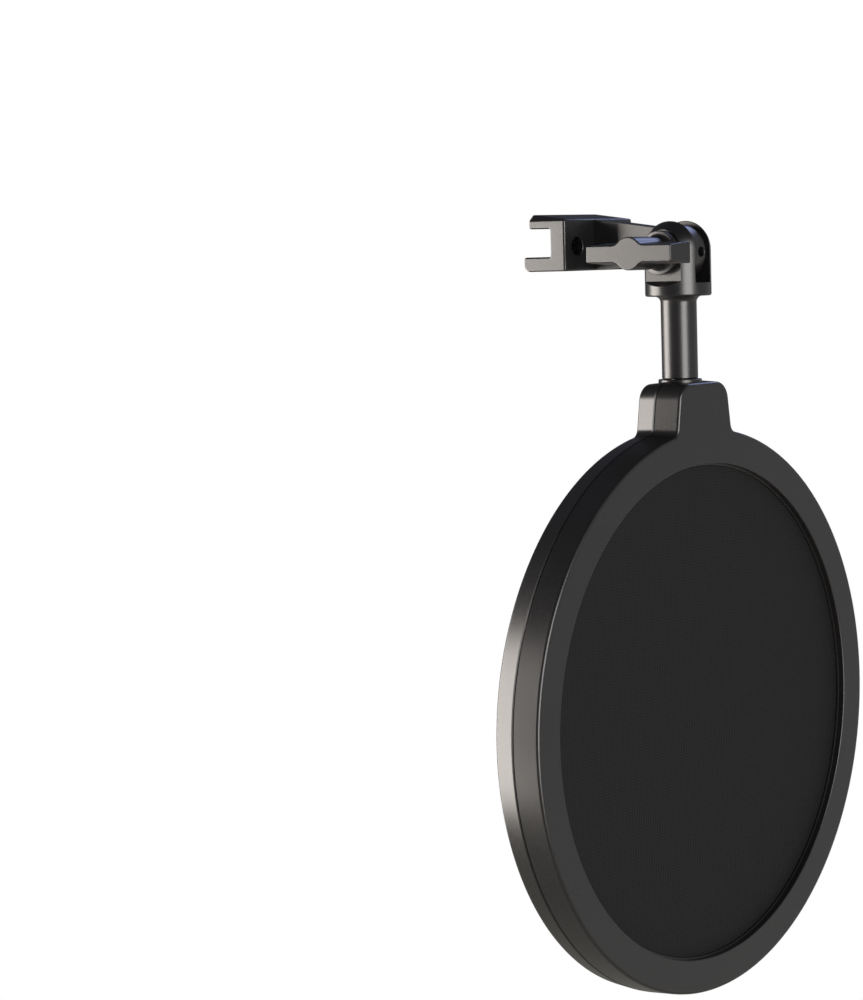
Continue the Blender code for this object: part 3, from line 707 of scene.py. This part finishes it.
def add_wing_knob():
    """T-bar with rounded edges, drafted towards its face, on a hub that swells into a flange."""
    bar = raised(knob_outline(), -KNOB_FACE_X, -KNOB_BAR_X, X_AXIS)
    for vertex in bar.verts:
        if vertex.co.x > -KNOB_FACE_X + MM:
            share = min(1.0, max(0.0, (abs(vertex.co.y) - 2 * MM) / (3 * MM)))
            vertex.co.z += math.copysign(KNOB_WING_DRAFT * share, vertex.co.z)
    knob = piece_from("wing_knob_moulding", bar, ABS, HINGE)
    soften_edges(knob, 0.35 * MM, 3, 50)
    hub_radius = 4.4 * MM
    flange = 6.0 * MM
    back = KNOB_BASE_X + 1.0 * MM
    root = -KNOB_BAR_X - 3 * MM
    outline = softened([
        (0, root), (hub_radius - 0.3 * MM, root), (hub_radius, -back, 0.9 * MM),
        (flange, -back, 0.3 * MM), (flange, -KNOB_BASE_X, 0.3 * MM), (0, -KNOB_BASE_X)])
    carve(knob, turned(outline, X_AXIS), HINGE, "UNION")
    far = -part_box("knob_insert")[0][0] + 0.3 * MM
    carve(knob, rod(3.3 * MM, -far, -KNOB_BASE_X + MM, X_AXIS), HINGE)
    stand_for(shade(knob), "wing_knob")


# ---------------------------------------------------------------- arm and bracket

def ring_curve(x):
    """How far the bracket sets back at x, so that it follows the cradle ring."""
    past = max(0.0, abs(x) - BRACKET_FLAT_HALF)
    return RING_CURVE_RADIUS - math.sqrt(RING_CURVE_RADIUS ** 2 - past ** 2)


def channel_form():
    """Side view of the channel carried along X through stations that follow the ring."""
    crown = 1.6 * MM
    half = BRACKET_HALF_WIDTH
    inner = [half - crown - (half - crown - BRACKET_FLAT_HALF) * step / 5 for step in range(6)]
    stations = [(-half, 0.0)] + [(-x, LIP_RISE) for x in inner]
    stations += [(-x, lift) for x, lift in reversed(stations)]
    form = bmesh.new()
    loops = []
    for x, lift in stations:
        section = [(-BRACKET_WEB, BRACKET_TOP), (UPPER_LIP_REACH, BRACKET_TOP + lift),
                   (UPPER_LIP_REACH, CHANNEL_TOP), (0, CHANNEL_TOP),
                   (0, CHANNEL_FOOT), (LOWER_LIP_REACH, CHANNEL_FOOT),
                   (LOWER_LIP_REACH, BRACKET_FOOT + 1.2 * MM),
                   (LOWER_LIP_REACH - 1.2 * MM, BRACKET_FOOT),
                   (-BRACKET_WEB, BRACKET_FOOT)]
        loops.append([form.verts.new((x, y + ring_curve(x), z)) for y, z in section])
    for here, there in zip(loops, loops[1:]):
        for index in range(len(here)):
            form.faces.new((here[index - 1], here[index], there[index], there[index - 1]))
    form.faces.new(loops[0])
    form.faces.new(loops[-1])
    return form


def drilled(mouth, seats, edge, far):
    """A stepped hole along Y from its mouth, with a rounded rim: (radius, y) steps down to far."""
    first = seats[0][0]
    outline = [(0, mouth - 3 * MM), (first + edge, mouth - 3 * MM)]
    outline += arc((first + edge, mouth + edge), edge, 270, 180, 4)
    outline += seats + [(seats[-1][0], far), (0, far)]
    return turned(outline, Y_AXIS, 48)


def add_arm_bracket():
    """Channel, tapering arm and tongue in one moulding, all outer edges rounded."""
    bracket = piece_from("arm_bracket_moulding", channel_form(), ABS)
    soften_edges(bracket, 0.55 * MM, 4, 40)
    root = -BRACKET_WEB / 2 - HINGE.y
    top = BRACKET_TOP - HINGE.z - 0.2 * MM
    foot = BRACKET_FOOT - HINGE.z + 0.2 * MM
    outline = (arc((0, 0), TONGUE_RADIUS, 62, 330, 60)
               + [(TONGUE_RADIUS, -3.6 * MM), (root - 3 * MM, foot), (root, foot), (root, top),
                  (root - 3 * MM, top)])
    arm = piece_from("arm", raised(outline, -ARM_HALF_WIDTH, ARM_HALF_WIDTH, X_AXIS), ABS)
    for sign in (-1, 1):
        low, high = sorted((sign * TONGUE_HALF_WIDTH, sign * 6 * MM))
        carve(arm, rod(8.2 * MM, low, high, X_AXIS), (0, 0, 0))
    soften_edges(arm, 0.5 * MM, 3, 40)
    carve(bracket, form_of(arm), HINGE, "UNION")
    for side in ("left", "right"):
        screw = middle(f"bracket_screw_{side}")
        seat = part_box(f"bracket_screw_{side}")[1][1] - 1.3 * MM
        mouth = ring_curve(screw.x) - BRACKET_WEB
        carve(bracket, drilled(mouth, [(2.45 * MM, seat), (1.7 * MM, seat)], 0.35 * MM, 3 * MM),
              (screw.x, 0, screw.z))
    carve(bracket, rod(BOLT_RADIUS + 0.3 * MM, -6 * MM, 6 * MM, X_AXIS), HINGE)
    dimple = drilled(-TONGUE_RADIUS, [(1.4 * MM, -5 * MM)], 0.2 * MM, -4.7 * MM)
    carve(bracket, dimple, HINGE + X_AXIS * 0.5 * MM)
    stand_for(shade(bracket), "arm_bracket")


def add_cross_head_screw(node, name, head, depth, inward):
    """Pan-head screw; inward is +1 if its head faces the front and -1 if it faces the rear."""
    low, high = (corner[1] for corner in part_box(node))
    centre = middle(node)
    face, tip = (low, high) if inward > 0 else (high, low)
    shank = 1.4 * MM if inward > 0 else 1.2 * MM
    under = face + inward * depth
    outline = softened([(0, face), (head, face, 0.5 * MM), (head, under), (shank, under),
                        (shank, tip, 0.4 * MM), (0, tip)])
    place = (centre.x, 0, centre.z)
    screw = piece_from(name, turned(outline, Y_AXIS, 48), BLACK_STEEL, place)
    low, high = sorted((face - inward * MM, face + inward * 0.8 * MM))
    reach, half = head * 0.6, 0.28 * MM
    for width, height in ((half, reach), (reach, half)):
        carve(screw, box((-width, low, -height), (width, high, height)), place)
    stand_for(shade(screw), node)


# ---------------------------------------------------------------- stage, lights and camera

def view_axes(azimuth, elevation, roll):
    """Camera right, up and back for a view; azimuth 0 looks along +Y and turns towards +X."""
    turn = Matrix.Rotation(-math.radians(azimuth), 3, "Z")
    lower = Matrix.Rotation(-math.radians(elevation), 3, "X")
    lean = Matrix.Rotation(math.radians(roll), 3, "Y")
    frame_axes = turn @ lower @ lean
    return frame_axes @ X_AXIS, frame_axes @ Z_AXIS, frame_axes @ -Y_AXIS


CAMERA_BEARING = 50.12


def add_camera():
    right, up, back = view_axes(CAMERA_BEARING, 4.643, 1.585)
    lens = bpy.data.cameras.new("camera")
    lens.lens = 108.0
    lens.sensor_width = 36.0
    camera = bpy.data.objects.new("camera", lens)
    place = HOOP + back * 0.82349 - right * 0.07097 + up * 0.0575
    facing = Matrix((right, up, back)).transposed().to_4x4()
    camera.matrix_world = Matrix.Translation(place) @ facing
    bpy.context.scene.collection.objects.link(camera)
    bpy.context.scene.camera = camera


def add_softbox(name, bearing, height, distance, width, tall, radiance, tint):
    """Area light aimed at the part; bearing is in degrees to the right of the camera's side."""
    towards = math.radians(bearing - 90 - CAMERA_BEARING)
    centre = Vector((0, HINGE.y, (HINGE.z + HOOP.z) / 2))
    data = bpy.data.lights.new(name, "AREA")
    data.shape = "RECTANGLE"
    data.size = width
    data.size_y = tall
    data.energy = radiance * math.pi * width * tall
    data.color = linear(tint)[:3]
    light = bpy.data.objects.new(name, data)
    aside = Vector((math.cos(towards), math.sin(towards), 0)) * distance
    light.location = centre + aside + Z_AXIS * height
    light.rotation_euler = (light.location - centre).to_track_quat("Z", "Y").to_euler()
    bpy.context.scene.collection.objects.link(light)


def add_stage():
    """Pale floor lit from below, which doesn't mirror in the part."""
    form = bmesh.new()
    bmesh.ops.create_circle(form, cap_ends=True, segments=96, radius=2.5)
    table, tree, shader = new_material("opal_acrylic_light_table", roughness=0.6,
                                       emission_strength=1.0)
    grain = add_node(tree, "ShaderNodeTexNoise", inputs={"Scale": 40.0},
                     links={"Vector": add_node(tree, "ShaderNodeTexCoord").outputs["Object"]})
    pale = mixed_colour(tree, grain.outputs["Fac"], "#fcfcfc", "#ffffff")
    tree.links.new(pale, shader.inputs["Base Color"])
    tree.links.new(pale, shader.inputs["Emission Color"])
    floor = piece_from("light_table", form, table, (0, 0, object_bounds()[0][2] - 0.65))
    floor.visible_glossy = False


def add_room():
    """White room to the eye; its light is dim overhead and stronger from the floor."""
    world = bpy.data.worlds.new("room")
    world.use_nodes = True
    tree = world.node_tree
    height = add_node(tree, "ShaderNodeSeparateXYZ",
                      links={"Vector": add_node(tree, "ShaderNodeTexCoord").outputs["Generated"]})
    floor_share = add_node(tree, "ShaderNodeMapRange",
                           inputs={"From Min": 0.05, "From Max": -0.5},
                           links={"Value": height.outputs["Z"]})
    glow = mixed_colour(tree, floor_share.outputs["Result"], "#4c4e57", "#99968f")
    seen = add_node(tree, "ShaderNodeLightPath").outputs["Is Camera Ray"]
    shown = add_node(tree, "ShaderNodeMix", {"data_type": "RGBA"}, {"B": (1.0, 1.0, 1.0, 1.0)},
                     {"Factor": seen, "A": glow})
    tree.links.new(shown.outputs["Result"], tree.nodes["Background"].inputs["Color"])
    bpy.context.scene.world = world
    bpy.context.scene.view_settings.view_transform = "Standard"


# ---------------------------------------------------------------- assembly

add_camera()
add_stage()
add_room()
add_softbox("left_softbox", -95, -0.1, 1.3, 0.9, 1.15, 12.5, "#fff8f1")
add_softbox("front_softbox", 30, 0.1, 1.5, 0.9, 1.3, 9, "#fffdfa")
add_softbox("right_reflector", 100, 0.1, 1.5, 3.4, 2.2, 0.32, "#ffffff")
add_softbox("high_blue_softbox", 152, 1.0, 1.5, 0.7, 0.5, 3.5, "#b9c8ff")

for label, facing in (("front", -1), ("rear", 1)):
    add_hoop_shell(label, facing)
    add_clamp_ring(label, facing)
    add_mesh_sheet(label, facing)
add_stem_fork()
add_hinge_bolt()
add_washer("knob_washer", "knob_plain_washer", ZINC, 2.3 * MM, 0.15 * MM)
for side in ("left", "right"):
    add_washer(f"{side}_friction_washer", f"{side}_friction_disc", BLACK_ACETAL,
               2.3 * MM, 0.12 * MM)
    add_cross_head_screw(f"bracket_screw_{side}", f"{side}_bracket_screw", 2.2 * MM, 1.4 * MM, 1)
    add_cross_head_screw(f"neck_screw_{side}", f"{side}_neck_screw", 2.1 * MM, 1.5 * MM, -1)
add_wing_knob()
add_arm_bracket()
for node, material in (("mesh_spacer", ABS), ("stem_bush", ACETAL), ("stem_friction_ring", RUBBER),
                       ("knob_insert", BRASS)):
    frame["nodes"][node].data.materials[0] = material
